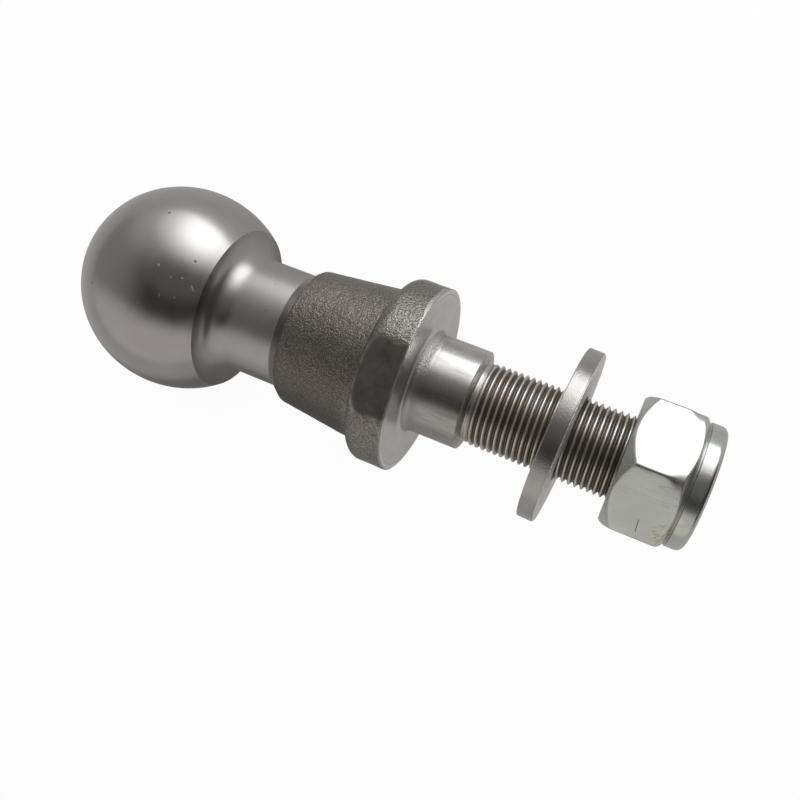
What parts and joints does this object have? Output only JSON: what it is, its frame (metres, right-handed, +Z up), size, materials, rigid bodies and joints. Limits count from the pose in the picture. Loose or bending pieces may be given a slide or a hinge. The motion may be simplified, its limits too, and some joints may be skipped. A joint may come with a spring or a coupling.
{
  "type": "tow ball",
  "caption": "Forged tow ball lying on its side: turned ball and neck, conical body, flange with wrench flats, shank with a metric thread, loose flat washer and nylon-insert lock nut.",
  "frame": {"origin": "centre of the flange's seating face, on the stud's axis", "axes": "+X along the stud's axis from the ball towards the nut, +Z up and square to the wrench flats; the stud lies on its side with its axis level and one wrench flat down"},
  "size_m": [0.158, 0.05, 0.05],
  "materials": {
    "stud_steel": "ball, neck, seat and shank turned bright; cone and flange rim as forged and blasted",
    "washer_steel": "satin",
    "nut_zinc": "bright zinc plating",
    "insert_nylon": "natural nylon"
  },
  "bodies": {
    "stud": {"ball_stud": "stud_steel", "flat_washer": "washer_steel"},
    "insert": {"nylon_insert": "insert_nylon"},
    "nut": {"lock_nut": "nut_zinc"}
  },
  "joints": [
    {"name": "nut_travel", "type": "slide", "parent": "stud", "child": "insert", "axis": [1, 0, 0], "range_m": [-0.0105, 0.012]},
    {"name": "nut_turn", "type": "hinge", "parent": "insert", "child": "nut", "pos_m": [0.0585, 0, 0], "axis": [1, 0, 0], "range_deg": [-2520, 2880]}
  ],
  "couplings": [
    {"joint": "nut_travel", "follows": "nut_turn", "m_per_rad": 0.00023873}
  ]
}
